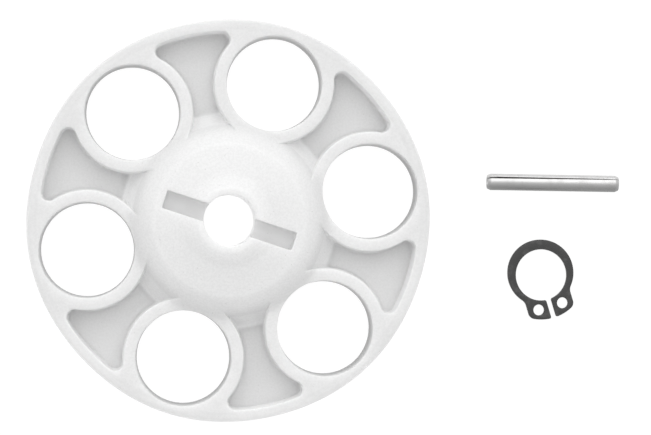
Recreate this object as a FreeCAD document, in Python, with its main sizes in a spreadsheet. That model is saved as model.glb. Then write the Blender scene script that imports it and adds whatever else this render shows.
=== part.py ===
"""Six-hole drive wheel with its drive pin and shaft retaining ring, laid out as a kit.

The frame's origin is on the wheel's bore axis, on the flat back face that the wheel rests on.
+Z points along the bore towards the hub's slotted side. +X points towards the two loose pieces.
"""

import FreeCAD, Part
import Sketcher
import math
import os

# Driving sizes, in millimetres and degrees. Each is set by itself.
SIZES = {
    # the shaft that the kit fits, which isn't part of the kit
    "shaft_diameter": 10.0,
    "bore_clearance": 0.08,
    # slotted spring pin
    "pin_diameter": 3.3,
    "pin_length": 26.6,
    "pin_wall": 0.6,
    "pin_slit": 0.6,
    "pin_slit_turn": 34.0,
    "pin_chamfer_run": 0.7,
    "pin_chamfer_rise": 0.28,
    # retaining ring
    "ring_spread": 0.31,
    "ring_thickness": 1.0,
    "ring_band_thick": 2.0,
    "ring_band_thin": 1.07,
    "ring_gap": 1.0,
    "lug_reach": 3.85,
    "lug_half_width": 4.7,
    "lug_corner": 1.4,
    "lug_neck": 1.6,
    "lug_hole_diameter": 2.2,
    "lug_hole_offset": 2.5,
    "lug_hole_reach": 1.47,
    "ring_edge_round": 0.08,
    # wheel disc
    "wheel_diameter": 80.0,
    "rim_height": 8.0,
    "web_thickness": 2.6,
    "rim_wall": 2.53,
    "hole_edge_wall": 2.21,
    "hole_ring_wall": 2.74,
    "hub_edge_gap": 0.65,
    "pocket_corner": 1.6,
    "edge_round": 0.4,
    # hub
    "collar_rise": 7.0,
    "shoulder_rise": 5.4,
    "crown_rise": 3.9,
    "collar_land": 1.2,
    "collar_run": 2.9,
    "slot_end_wall": 1.7,
    "flank_run": 3.7,
    "flank_bulge": 12.0,
    "skirt_run": 2.65,
    "bore_mouth": 0.5,
    "crown_round": 1.0,
    "collar_round": 0.9,
    # the slot that the pin lies in
    "pin_side_clearance": 0.18,
    "pin_end_clearance": 0.1,
    "pin_sink": 0.25,
    "slot_floor_clearance": 0.45,
    # coring behind the hub
    "boss_wall": 2.6,
    "core_wall": 2.4,
    "core_roof": 2.5,
    "rib_thickness": 2.2,
    "rib_recess": 0.6,
    # how the loose pieces lie beside the wheel
    "wheel_turn": 11.7,
    "pin_turn": -0.9,
    "pin_stand_off": 12.1,
    "pin_across": 7.65,
    "ring_turn": 16.7,
    "ring_stand_off": 16.5,
    "ring_pin_space": 9.75,
}

HOLE_COUNT = 6
SLOT_TURN = -180.0 / HOLE_COUNT
PARTS_FOLDER = "parts"

# Sizes that follow from the driving ones, as expressions on the sheet.
BORE_R = "(Sizes.shaft_diameter / 2 + Sizes.bore_clearance)"
RIM_R = "(Sizes.wheel_diameter / 2)"
PIN_R = "(Sizes.pin_diameter / 2)"
SLOT_HALF = "(Sizes.pin_length / 2 + Sizes.pin_end_clearance)"
SLOT_HALF_WIDTH = f"({PIN_R} + Sizes.pin_side_clearance)"
CROWN_R = f"({SLOT_HALF} + Sizes.slot_end_wall)"
HUB_R = f"({CROWN_R} + Sizes.flank_run)"
FOOT_R = f"({HUB_R} + Sizes.skirt_run)"
COLLAR_R = f"({BORE_R} + Sizes.collar_land)"
COLLAR_FOOT_R = f"({COLLAR_R} + Sizes.collar_run)"
COLLAR_Z = "(Sizes.rim_height + Sizes.collar_rise)"
SHOULDER_Z = "(Sizes.rim_height + Sizes.shoulder_rise)"
CROWN_Z = "(Sizes.rim_height + Sizes.crown_rise)"
HOLE_OUTER = f"({RIM_R} - Sizes.hole_edge_wall)"
HOLE_INNER = f"({HUB_R} + Sizes.hub_edge_gap)"
HOLE_R = f"(({HOLE_OUTER} - {HOLE_INNER}) / 2)"
HOLE_CENTRE = f"(({HOLE_OUTER} + {HOLE_INNER}) / 2)"
HOLE_RING_R = f"({HOLE_R} + Sizes.hole_ring_wall)"
RIM_INNER_R = f"({RIM_R} - Sizes.rim_wall)"
SLOT_FLOOR_Z = f"({CROWN_Z} - Sizes.pin_diameter - Sizes.pin_sink)"
CORE_ROOF_Z = f"({SLOT_FLOOR_Z} - Sizes.core_roof)"
BOSS_R = f"({BORE_R} + Sizes.boss_wall)"
CORE_TOP_R = f"({HUB_R} - Sizes.core_wall)"
CORE_BACK_R = f"({HOLE_INNER} - Sizes.core_wall)"
RING_R = "(Sizes.shaft_diameter / 2 + Sizes.ring_spread / 2)"
RING_OUTER_R = f"({RING_R} + (Sizes.ring_band_thick + Sizes.ring_band_thin) / 2)"
RING_SHIFT = "((Sizes.ring_band_thick - Sizes.ring_band_thin) / 2)"
LUG_R = f"({RING_R} + Sizes.lug_reach)"


def make_sheet(doc):
    """Puts the driving sizes in a spreadsheet, one aliased cell each."""
    sheet = doc.addObject("Spreadsheet::Sheet", "Sizes")
    for row, (name, value) in enumerate(SIZES.items(), start=1):
        sheet.set(f"A{row}", name)
        sheet.set(f"B{row}", str(value))
        sheet.setAlias(f"B{row}", name)
    doc.recompute()
    return sheet


def origin_feature(body, role):
    """Returns one of a body's own origin planes or axes."""
    return next(item for item in body.Origin.OriginFeatures if item.Role == role)


def make_body(doc, label):
    """Makes an empty body with a name of its own."""
    body = doc.addObject("PartDesign::Body", label)
    body.Label = label
    return body


def make_sketch(body, name, plane, turn=0.0):
    """Makes a sketch on one of the body's origin planes, turned about the sketch's upright axis."""
    sketch = body.newObject("Sketcher::SketchObject", name)
    sketch.AttachmentSupport = [(origin_feature(body, plane), "")]
    sketch.MapMode = "FlatFace"
    sketch.AttachmentOffset = FreeCAD.Placement(
        FreeCAD.Vector(0, 0, 0), FreeCAD.Rotation(FreeCAD.Vector(0, 1, 0), turn)
    )
    return sketch


def number(owner, expression):
    """Works out a sheet expression as a plain number."""
    value = owner.evalExpression(expression)
    return float(getattr(value, "Value", value))


def bind(sketch, index, name, expression):
    """Names a constraint and ties its value to the sheet."""
    sketch.renameConstraint(index, name)
    sketch.setExpression(f"Constraints.{name}", expression)


def pin_point(sketch, geometry, vertex, name, across, along):
    """Holds one point of a sketch at a place given by two sheet expressions."""
    for kind, tag, expression in (("DistanceX", "x", across), ("DistanceY", "y", along)):
        value = number(sketch, expression)
        index = sketch.addConstraint(Sketcher.Constraint(kind, -1, 1, geometry, vertex, value))
        bind(sketch, index, f"{name}_{tag}", expression)


def add_circle(sketch, name, across, along, radius):
    """Adds a circle whose centre and radius follow the sheet."""
    centre = FreeCAD.Vector(number(sketch, across), number(sketch, along), 0)
    size = number(sketch, radius)
    circle = sketch.addGeometry(Part.Circle(centre, FreeCAD.Vector(0, 0, 1), size), False)
    pin_point(sketch, circle, 3, name, across, along)
    index = sketch.addConstraint(Sketcher.Constraint("Radius", circle, size))
    bind(sketch, index, f"{name}_radius", radius)
    return circle


def bulged_arc(start, end, radius):
    """Returns the arc between two points that bulges to the right of the way from start to end."""
    chord = end - start
    half = chord.Length / 2
    normal = FreeCAD.Vector(chord.y, -chord.x, 0).normalize()
    sagitta = radius - math.sqrt(radius ** 2 - half ** 2)
    return Part.Arc(start, (start + end) / 2 + normal * sagitta, end)


def add_outline(sketch, name, points, bulges=None):
    """Adds a closed outline of lines and arcs.

    points are pairs of sheet expressions, in order round the outline. bulges gives the radius,
    as a sheet expression, of each side that is an arc, by the number of the point it starts at.
    """
    bulges = bulges or {}
    places = [FreeCAD.Vector(number(sketch, x), number(sketch, y), 0) for x, y in points]
    sides = []
    ends = []
    for i, start in enumerate(places):
        end = places[(i + 1) % len(places)]
        if i in bulges:
            arc = bulged_arc(start, end, number(sketch, bulges[i]))
            sides.append(sketch.addGeometry(arc, False))
            flipped = (arc.StartPoint - start).Length > (arc.EndPoint - start).Length
            ends.append((2, 1) if flipped else (1, 2))
        else:
            sides.append(sketch.addGeometry(Part.LineSegment(start, end), False))
            ends.append((1, 2))
    for i, side in enumerate(sides):
        after = (i + 1) % len(sides)
        sketch.addConstraint(Sketcher.Constraint("Coincident", side, ends[i][1], sides[after], ends[after][0]))
    for i, (x, y) in enumerate(points):
        pin_point(sketch, sides[i], ends[i][0], f"{name}_{i}", x, y)
    for i, expression in bulges.items():
        radius = number(sketch, expression)
        index = sketch.addConstraint(Sketcher.Constraint("Radius", sides[i], radius))
        bind(sketch, index, f"{name}_{i}_radius", expression)


def add_box(sketch, name, low_x, low_y, high_x, high_y):
    """Adds a rectangle whose four corners follow the sheet."""
    add_outline(sketch, name, [(low_x, low_y), (high_x, low_y), (high_x, high_y), (low_x, high_y)])


def revolve(body, name, sketch, cuts=False):
    """Turns a profile drawn on the XZ plane once round the Z axis."""
    kind = "PartDesign::Groove" if cuts else "PartDesign::Revolution"
    feature = body.newObject(kind, name)
    feature.Profile = sketch
    feature.ReferenceAxis = (sketch, ["V_Axis"])
    feature.Angle = 360.0
    return feature


def pad(body, name, sketch, length, offset=None):
    """Raises a profile along its plane's normal, from an offset above the plane."""
    if offset:
        sketch.setExpression("AttachmentOffset.Base.z", offset)
    feature = body.newObject("PartDesign::Pad", name)
    feature.Profile = sketch
    feature.Type = "Length"
    feature.setExpression("Length", length)
    return feature


def pocket(body, name, sketch, length=None):
    """Cuts a profile evenly both ways from its plane, over a length or right through the body."""
    before = body.Shape.Volume
    feature = body.newObject("PartDesign::Pocket", name)
    feature.Profile = sketch
    feature.SideType = "Symmetric"
    if length:
        feature.Type = "Length"
        feature.setExpression("Length", length)
    else:
        feature.Type = "ThroughAll"
    body.Document.recompute()
    if not body.Shape.Volume < before:
        raise RuntimeError(f"{name} cuts nothing")
    return feature


def repeat_round(body, name, feature, count):
    """Repeats a feature evenly round the body's Z axis."""
    pattern = body.newObject("PartDesign::PolarPattern", name)
    pattern.Originals = [feature]
    pattern.Axis = (origin_feature(body, "Z_Axis"), [""])
    pattern.Angle = 360.0
    pattern.Occurrences = count
    body.Tip = pattern
    body.Document.recompute()
    return pattern


def edges_where(shape, test):
    """Names the edges of a shape that pass a test."""
    return [f"Edge{i}" for i, edge in enumerate(shape.Edges, start=1) if test(edge)]


def round_edges(body, name, test, radius):
    """Rounds the edges of the body's present shape that pass a test."""
    body.Document.recompute()
    base = body.Tip
    names = edges_where(base.Shape, test)
    if not names:
        raise RuntimeError(f"{name} finds no edge")
    feature = body.newObject("PartDesign::Fillet", name)
    feature.Base = (base, names)
    feature.setExpression("Radius", radius)
    body.Document.recompute()
    if "Invalid" in feature.State:
        raise RuntimeError(f"{name} can't be rounded")
    return feature


def is_ring(edge, radius, height):
    """Tells whether an edge is a circle round the Z axis with this radius and height."""
    curve = edge.Curve
    if not isinstance(curve, Part.Circle):
        return False
    on_axis = math.hypot(curve.Center.x, curve.Center.y) < 1e-4
    return on_axis and abs(curve.Radius - radius) < 1e-3 and abs(curve.Center.z - height) < 1e-3


def is_upright(edge, across, along):
    """Tells whether an edge stands upright at this Y and this distance either side of X = 0."""
    ends = edge.Vertexes
    if len(ends) != 2 or math.hypot(ends[0].X - ends[1].X, ends[0].Y - ends[1].Y) > 1e-4:
        return False
    return abs(abs(ends[0].X) - across) < 1e-3 and abs(ends[0].Y - along) < 1e-3


def make_wheel(doc):
    """Builds the moulded wheel: web, rim, hole rings, hub, bore, slot and coring."""
    body = make_body(doc, "drive_wheel")

    profile = make_sketch(body, "disc_profile", "XZ_Plane")
    add_outline(profile, "disc", [
        ("0", "0"), (RIM_R, "0"), (RIM_R, "Sizes.rim_height"), (RIM_INNER_R, "Sizes.rim_height"),
        (RIM_INNER_R, "Sizes.web_thickness"), ("0", "Sizes.web_thickness"),
    ])
    revolve(body, "disc", profile)
    doc.recompute()

    plan = make_sketch(body, "hole_ring_plan", "XY_Plane")
    add_circle(plan, "hole_ring", HOLE_CENTRE, "0", HOLE_RING_R)
    ring = pad(body, "hole_ring", plan, "Sizes.rim_height")
    repeat_round(body, "hole_rings", ring, HOLE_COUNT)

    turning = make_sketch(body, "rim_turning", "XZ_Plane")
    beyond = f"({RIM_R} + Sizes.hole_ring_wall)"
    add_box(turning, "turning", RIM_R, "-Sizes.rim_height", beyond, "2 * Sizes.rim_height")
    revolve(body, "rim_outside", turning, cuts=True)
    doc.recompute()

    corner_r = number(body, RIM_INNER_R)
    low = number(body, "Sizes.web_thickness")

    def is_pocket_corner(edge):
        """Tells whether an edge is an upright corner between the rim and a hole ring."""
        ends = edge.Vertexes
        if len(ends) != 2 or not isinstance(edge.Curve, Part.Line):
            return False
        upright = math.hypot(ends[0].X - ends[1].X, ends[0].Y - ends[1].Y) < 1e-4
        inside = abs(math.hypot(ends[0].X, ends[0].Y) - corner_r) < 1e-3
        return upright and inside and min(ends[0].Z, ends[1].Z) > low - 1e-3

    round_edges(body, "pocket_corners", is_pocket_corner, "Sizes.pocket_corner")

    add_hub(body)
    cut_holes(body)
    core_back(body)
    cut_bore_and_slot(body)
    place(body, "0", "0", "0", "Sizes.wheel_turn")
    return body


def add_hub(body):
    """Adds the domed hub: skirt, bulging flank, gently sloping crown and collar."""
    profile = make_sketch(body, "hub_profile", "XZ_Plane")
    buried = "(Sizes.web_thickness / 2)"
    add_outline(profile, "hub", [
        ("0", buried), (FOOT_R, buried), (FOOT_R, "Sizes.web_thickness"), (HUB_R, "Sizes.rim_height"),
        (CROWN_R, CROWN_Z), (COLLAR_FOOT_R, SHOULDER_Z), (COLLAR_R, COLLAR_Z), ("0", COLLAR_Z),
    ], bulges={3: "Sizes.flank_bulge"})
    revolve(body, "hub", profile)
    body.Document.recompute()
    for name, radius, height, size in (
        ("crown_edge", CROWN_R, CROWN_Z, "Sizes.crown_round"),
        ("collar_foot", COLLAR_FOOT_R, SHOULDER_Z, "Sizes.collar_round"),
        ("collar_edge", COLLAR_R, COLLAR_Z, "Sizes.collar_round"),
    ):
        radius = number(body, radius)
        height = number(body, height)
        round_edges(body, name, lambda edge: is_ring(edge, radius, height), size)


def cut_holes(body):
    """Cuts the six holes and rounds every edge of the land and of the back."""
    plan = make_sketch(body, "hole_plan", "XY_Plane")
    add_circle(plan, "hole", HOLE_CENTRE, "0", HOLE_R)
    hole = pocket(body, "hole", plan)
    repeat_round(body, "holes", hole, HOLE_COUNT)
    top = number(body, "Sizes.rim_height")
    hub_r = number(body, HUB_R)

    def is_land_edge(edge):
        """Tells whether an edge lies in the land or the back plane, other than round the hub."""
        box = edge.BoundBox
        level = box.ZMax - box.ZMin < 1e-4 and min(abs(box.ZMax - top), abs(box.ZMax)) < 1e-4
        return level and not is_ring(edge, hub_r, top)

    round_edges(body, "land_edges", is_land_edge, "Sizes.edge_round")


def core_back(body):
    """Cores the hub from the back, round a bore boss, and puts six radial ribs in the core."""
    profile = make_sketch(body, "core_profile", "XZ_Plane")
    below = "(0 - Sizes.web_thickness)"
    add_outline(profile, "core", [
        (BOSS_R, below), (CORE_BACK_R, below), (CORE_BACK_R, "0"), (CORE_TOP_R, CORE_ROOF_Z),
        (BOSS_R, CORE_ROOF_Z),
    ])
    revolve(body, "core", profile, cuts=True)
    plan = make_sketch(body, "rib_plan", "XY_Plane")
    inner = f"({BOSS_R} - Sizes.boss_wall / 2)"
    outer = f"({CORE_TOP_R} + Sizes.core_wall / 4)"
    half = "Sizes.rib_thickness / 2"
    add_box(plan, "rib", inner, f"(0 - {half})", outer, f"({half})")
    height = f"({CORE_ROOF_Z} - Sizes.rib_recess + Sizes.core_roof / 2)"
    rib = pad(body, "rib", plan, height, offset="Sizes.rib_recess")
    repeat_round(body, "ribs", rib, HOLE_COUNT)


def cut_bore_and_slot(body):
    """Cuts the bore, rounds its mouth in the collar and cuts the slot that the pin lies in."""
    plan = make_sketch(body, "bore_plan", "XY_Plane")
    add_circle(plan, "bore", "0", "0", BORE_R)
    pocket(body, "bore", plan)
    radius = number(body, BORE_R)
    top = number(body, COLLAR_Z)
    round_edges(body, "bore_mouth", lambda edge: is_ring(edge, radius, top), "Sizes.bore_mouth")

    section = make_sketch(body, "slot_section", "YZ_Plane", SLOT_TURN)
    floor_r = f"({PIN_R} + Sizes.slot_floor_clearance)"
    wall_foot = f"({SLOT_FLOOR_Z} + {floor_r} - sqrt({floor_r} ^ 2 - {SLOT_HALF_WIDTH} ^ 2))"
    above = f"({COLLAR_Z} + Sizes.collar_rise)"
    left = f"(0 - {SLOT_HALF_WIDTH})"
    add_outline(section, "slot", [
        (left, wall_foot), (SLOT_HALF_WIDTH, wall_foot), (SLOT_HALF_WIDTH, above), (left, above),
    ], bulges={0: floor_r})
    pocket(body, "slot", section, f"2 * {SLOT_HALF}")


def place(body, across, along, height, turn):
    """Lays a body down at a place and turn that follow the sheet."""
    body.Placement = FreeCAD.Placement(
        FreeCAD.Vector(number(body, across), number(body, along), number(body, height)),
        FreeCAD.Rotation(FreeCAD.Vector(0, 0, 1), number(body, turn)),
    )
    body.setExpression("Placement.Base.x", across)
    body.setExpression("Placement.Base.y", along)
    body.setExpression("Placement.Base.z", height)
    body.setExpression("Placement.Rotation.Angle", turn)


def make_pin(doc):
    """Builds the slotted spring pin: a rolled tube along X with a slit and chamfered ends."""
    body = make_body(doc, "drive_pin")
    section = make_sketch(body, "tube_section", "YZ_Plane")
    add_circle(section, "outside", "0", "0", PIN_R)
    add_circle(section, "inside", "0", "0", f"({PIN_R} - Sizes.pin_wall)")
    tube = pad(body, "tube", section, "Sizes.pin_length")
    tube.SideType = "Symmetric"
    doc.recompute()

    slit = make_sketch(body, "slit_section", "YZ_Plane")
    slit.AttachmentOffset = FreeCAD.Placement(
        FreeCAD.Vector(0, 0, 0), FreeCAD.Rotation(FreeCAD.Vector(0, 0, 1), -SIZES["pin_slit_turn"])
    )
    half = "Sizes.pin_slit / 2"
    add_box(slit, "slit", f"(0 - {half})", f"({PIN_R} / 4)", f"({half})", f"({PIN_R} * 2)")
    pocket(body, "slit", slit)

    chamfer = make_sketch(body, "chamfer_profile", "XZ_Plane")
    end = "(Sizes.pin_length / 2)"
    start = f"({end} - Sizes.pin_chamfer_run)"
    for name, sign in (("right", ""), ("left", "0 - ")):
        add_outline(chamfer, name, [
            (f"({sign}{start})", PIN_R), (f"({sign}({end} + Sizes.pin_chamfer_run))", PIN_R),
            (f"({sign}({end} + Sizes.pin_chamfer_run))", f"({PIN_R} - 2 * Sizes.pin_chamfer_rise)"),
        ])
    groove = body.newObject("PartDesign::Groove", "chamfers")
    groove.Profile = chamfer
    groove.ReferenceAxis = (chamfer, ["H_Axis"])
    groove.Angle = 360.0
    doc.recompute()
    across = f"({RIM_R} + Sizes.pin_stand_off + Sizes.pin_length / 2)"
    place(body, across, "Sizes.pin_across", PIN_R, "Sizes.pin_turn")
    return body


def make_ring(doc):
    """Builds the external retaining ring: a band that narrows to two lugs either side of a gap."""
    body = make_body(doc, "retaining_ring")
    plan = make_sketch(body, "band_plan", "XY_Plane")
    add_circle(plan, "band", "0", RING_SHIFT, RING_OUTER_R)
    pad(body, "band", plan, "Sizes.ring_thickness")
    doc.recompute()

    lugs = make_sketch(body, "lug_plan", "XY_Plane")
    half = "Sizes.lug_half_width"
    drop = f"(0 - sqrt({LUG_R} ^ 2 - {half} ^ 2))"
    add_outline(lugs, "lugs", [
        (f"(0 - {half})", "0"), (f"(0 - {half})", drop), (half, drop), (half, "0"),
    ], bulges={1: LUG_R})
    pad(body, "lugs", lugs, "Sizes.ring_thickness")
    doc.recompute()

    lug_foot = f"({RING_SHIFT} - sqrt({RING_OUTER_R} ^ 2 - {half} ^ 2))"
    for name, along, size in (
        ("lug_corners", drop, "Sizes.lug_corner"), ("lug_necks", lug_foot, "Sizes.lug_neck"),
    ):
        at = (number(body, half), number(body, along))
        round_edges(body, name, lambda edge: is_upright(edge, *at), size)

    cuts = make_sketch(body, "inside_plan", "XY_Plane")
    add_circle(cuts, "inside", "0", "0", RING_R)
    pocket(body, "inside", cuts)
    gap = make_sketch(body, "gap_plan", "XY_Plane")
    gap_half = "Sizes.ring_gap / 2"
    add_box(gap, "gap", f"(0 - {gap_half})", f"(0 - 2 * {LUG_R})", f"({gap_half})", "0")
    pocket(body, "gap", gap)
    holes = make_sketch(body, "lug_hole_plan", "XY_Plane")
    along = f"(0 - {RING_R} - Sizes.lug_hole_reach)"
    radius = "(Sizes.lug_hole_diameter / 2)"
    add_circle(holes, "right_hole", "Sizes.lug_hole_offset", along, radius)
    add_circle(holes, "left_hole", "(0 - Sizes.lug_hole_offset)", along, radius)
    pocket(body, "lug_holes", holes)

    top = number(body, "Sizes.ring_thickness")

    def is_face_edge(edge):
        """Tells whether an edge bounds the ring's top or bottom face."""
        box = edge.BoundBox
        return box.ZMax - box.ZMin < 1e-4 and min(abs(box.ZMax - top), abs(box.ZMax)) < 1e-4

    round_edges(body, "stamped_edges", is_face_edge, "Sizes.ring_edge_round")
    across = f"({RIM_R} + Sizes.ring_stand_off + {RING_OUTER_R})"
    along = f"(Sizes.pin_across - {PIN_R} - Sizes.ring_pin_space - {RING_OUTER_R} - {RING_SHIFT})"
    place(body, across, along, "0", "Sizes.ring_turn")
    return body


def check(doc, pieces):
    """Stops if any object failed, or if a piece isn't one valid solid."""
    doc.recompute()
    for item in doc.Objects:
        if "Invalid" in item.State or "Error" in item.State:
            raise RuntimeError(f"{item.Label} failed: {item.State}")
    for piece in pieces:
        shape = piece.Shape
        if shape.isNull() or not shape.isValid() or len(shape.Solids) != 1:
            raise RuntimeError(f"{piece.Label} isn't one valid solid")


def main():
    """Builds the three pieces, checks them and writes one file for each."""
    doc = FreeCAD.newDocument("drive_wheel_kit")
    make_sheet(doc)
    pieces = [make_wheel(doc), make_pin(doc), make_ring(doc)]
    check(doc, pieces)
    os.makedirs(PARTS_FOLDER, exist_ok=True)
    for piece in pieces:
        piece.Shape.exportStep(f"{PARTS_FOLDER}/{piece.Label}.step")
        box = piece.Shape.BoundBox
        low = f"{box.XMin:.2f} {box.YMin:.2f} {box.ZMin:.2f}"
        high = f"{box.XMax:.2f} {box.YMax:.2f} {box.ZMax:.2f}"
        print(f"{piece.Label}: {piece.Shape.Volume:.1f} mm3, from {low} to {high}")


main()
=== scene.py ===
"""Looks of the six-hole drive wheel kit: the moulded wheel, its rolled spring pin and its retaining ring."""

import logging
import math
from dataclasses import dataclass, field
from enum import Enum
from typing import Callable, Iterable, Sequence

import bmesh
import bpy
import numpy as np
from mathutils import Matrix, Vector
from mathutils.geometry import delaunay_2d_cdt


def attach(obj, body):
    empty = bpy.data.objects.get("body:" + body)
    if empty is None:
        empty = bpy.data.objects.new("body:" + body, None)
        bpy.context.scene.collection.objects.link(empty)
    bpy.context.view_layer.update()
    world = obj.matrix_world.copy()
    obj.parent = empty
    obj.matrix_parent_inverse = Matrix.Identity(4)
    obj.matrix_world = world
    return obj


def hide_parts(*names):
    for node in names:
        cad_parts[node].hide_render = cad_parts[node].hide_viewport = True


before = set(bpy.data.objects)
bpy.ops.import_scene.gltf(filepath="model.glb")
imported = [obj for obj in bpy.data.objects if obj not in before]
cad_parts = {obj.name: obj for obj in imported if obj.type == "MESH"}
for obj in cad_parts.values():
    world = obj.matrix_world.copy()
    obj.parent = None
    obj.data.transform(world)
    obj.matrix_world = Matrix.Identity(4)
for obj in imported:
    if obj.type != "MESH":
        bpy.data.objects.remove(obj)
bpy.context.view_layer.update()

log = logging.getLogger("drive_wheel_kit")

MM = 0.001
MERGE_MM = 0.0004
# Millimetres: how near two drawn points are that meet, how near a side or a border line counts as on it,
# and how far apart an outline's points are. The least area is that of a triangle worth keeping.
MEET = 1e-5
ON_SIDE = 1e-3
ON_BORDER = 2e-3
OUTLINE_STEP = 0.2
LEAST_AREA = 1e-7
# How far a rounded corner's curve reaches towards the sharp corner, as a share of the way.
CORNER_PULL = 0.55
Array = np.ndarray


# ---------------------------------------------------------------- plane geometry

def arc(centre: tuple[float, float], radius: float, start: float, end: float, count: int) -> Array:
    """Points along an arc.

    Args:
        centre: The arc's centre, in millimetres.
        radius: Its radius, in millimetres.
        start: The first point's angle, in degrees.
        end: The last point's angle, in degrees.
        count: How many equal steps it has.

    Returns:
        An array of count + 1 points.
    """
    angles = np.radians(np.linspace(start, end, count + 1))
    return np.column_stack((centre[0] + radius * np.cos(angles), centre[1] + radius * np.sin(angles)))


def quarter_steps(size: float, count: int) -> list[tuple[float, float]]:
    """Steps across a quarter-round edge.

    Args:
        size: The edge's radius.
        count: How many steps the quarter is cut into.

    Returns:
        Pairs of (distance in from the wall, drop below the face), from the wall to the face.
    """
    turns = np.radians(np.linspace(0.0, 90.0, count + 1))
    return [(size * (1 - math.cos(t)), size * (1 - math.sin(t))) for t in turns]


def edge_drop(inset: Array, size: float) -> Array:
    """How far a rounded edge lies below its face, at a distance in from its wall."""
    near = np.clip(size - inset, 0.0, size)
    return size - np.sqrt(size ** 2 - near ** 2)


def smooth_max(first: Array, second: Array, reach: float) -> Array:
    """The larger of two heights, with the crease between them filled over a reach."""
    overlap = np.clip(reach - np.abs(first - second), 0.0, None)
    return np.maximum(first, second) + overlap ** 2 / (4 * reach)


def rounded_corner(first: Array, second: Array, size: float) -> Array:
    """Distance inside a region with two square walls whose corner is rounded to a size."""
    reach = np.hypot(np.clip(size - first, 0.0, None), np.clip(size - second, 0.0, None))
    return np.maximum(size, np.minimum(first, second)) - reach


def filleted_profile(points: Sequence[tuple[float, float]], reaches: Sequence[float]) -> Array:
    """Eases each inner corner of a line of points with a curve.

    Args:
        points: The line's corners, as (radius, height) in millimetres.
        reaches: How far the curve runs to each side of each inner corner.

    Returns:
        The eased line's points, dense enough to read heights from.
    """
    line = [np.array(points[0])]
    for before, corner, after, reach in zip(points, points[1:], points[2:], reaches):
        corner_at = np.array(corner)
        back = np.array(before) - corner_at
        onward = np.array(after) - corner_at
        begin = corner_at + back / np.linalg.norm(back) * min(reach, np.linalg.norm(back) / 2)
        end = corner_at + onward / np.linalg.norm(onward) * min(reach, np.linalg.norm(onward) / 2)
        for share in np.linspace(0.0, 1.0, 13):
            line.append((1 - share) ** 2 * begin + 2 * share * (1 - share) * corner_at + share ** 2 * end)
    line.append(np.array(points[-1]))
    return np.array(line)


class Drawing:
    """Lines drawn in a plane, which are then filled with triangles."""

    def __init__(self) -> None:
        """Starts an empty drawing."""
        self.points: list[tuple[float, float]] = []
        self.edges: list[tuple[int, int]] = []

    def line(self, points: Array, keep: Callable[[Array], Array] | None = None, closed: bool = False) -> None:
        """Adds a line through points.

        Args:
            points: The line's points.
            keep: Tells which points may be used; a side is drawn where both its ends may.
            closed: Whether the last point is joined to the first.
        """
        first = len(self.points)
        self.points.extend((float(x), float(y)) for x, y in points)
        good = keep(points) if keep else np.ones(len(points), bool)
        count = len(points)
        for i in range(count if closed else count - 1):
            after = (i + 1) % count
            if good[i] and good[after]:
                self.edges.append((first + i, first + after))
        if keep:
            self._drop_unused(first)

    def _drop_unused(self, first: int) -> None:
        """Removes points from a place in the list onwards that no side uses."""
        used = sorted({i for edge in self.edges for i in edge if i >= first})
        moved = {old: first + new for new, old in enumerate(used)}
        kept = [self.points[i] for i in used]
        self.points = self.points[:first] + kept
        self.edges = [tuple(moved.get(i, i) for i in edge) for edge in self.edges]

    def fill(
        self, inside: Callable[[Array], Array], snap: Callable[[Array], Array] | None = None
    ) -> tuple[Array, Array]:
        """Fills the drawing with triangles.

        Args:
            inside: Tells, from the triangles' centres, which of them belong to the region.
            snap: Moves points that are nearly on a straight side right on to it.

        Returns:
            The points that are used and the triangles, as point numbers, anticlockwise.
        """
        verts, _, faces, *_ = delaunay_2d_cdt([Vector(p) for p in self.points], self.edges, [], 0, MEET)
        places = np.array([tuple(v) for v in verts])
        if snap:
            places = snap(places)
        triangles = np.array([tuple(f) for f in faces if len(f) == 3])
        corners = places[triangles]
        first = corners[:, 1] - corners[:, 0]
        second = corners[:, 2] - corners[:, 0]
        area = first[:, 0] * second[:, 1] - first[:, 1] * second[:, 0]
        wanted = inside(corners.mean(axis=1)) & (np.abs(area) > LEAST_AREA)
        triangles = triangles[wanted]
        flip = area[wanted] < 0
        triangles[flip] = triangles[flip][:, ::-1]
        used, numbers = np.unique(triangles, return_inverse=True)
        return places[used], numbers.reshape(-1, 3)


class Shell:
    """Vertices and faces, gathered from several sheets."""

    def __init__(self) -> None:
        """Starts an empty shell."""
        self.verts: list[Array] = []
        self.faces: list[tuple[int, ...]] = []
        self.count = 0

    def add(self, verts: Array, faces: Iterable[Sequence[int]], flip: bool = False) -> None:
        """Adds a sheet, with its faces turned over if asked."""
        for face in faces:
            shifted = tuple(int(i) + self.count for i in face)
            self.faces.append(shifted[::-1] if flip else shifted)
        self.verts.append(np.asarray(verts, float))
        self.count += len(verts)

    def strip(self, upper: Array, lower: Array, closed: bool = False, flip: bool = False) -> None:
        """Adds four-sided faces between two lines of equally many points."""
        size = len(upper)
        last = size if closed else size - 1
        faces = [(i, (i + 1) % size, (i + 1) % size + size, i + size) for i in range(last)]
        self.add(np.vstack((upper, lower)), faces, flip)

    def mirrored(self) -> "Shell":
        """The shell with its mirror image in the XZ plane added."""
        both = Shell()
        verts = np.vstack(self.verts)
        both.add(verts, self.faces)
        both.add(verts * np.array((1.0, -1.0, 1.0)), self.faces, flip=True)
        return both

    def mesh(self, name: str, scale: float = MM) -> bpy.types.Mesh:
        """A mesh of the shell, in metres, with meeting points merged."""
        mesh = bpy.data.meshes.new(name)
        mesh.from_pydata((np.vstack(self.verts) * scale).tolist(), [], self.faces)
        merge_points(mesh, MERGE_MM * scale)
        return mesh


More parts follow.
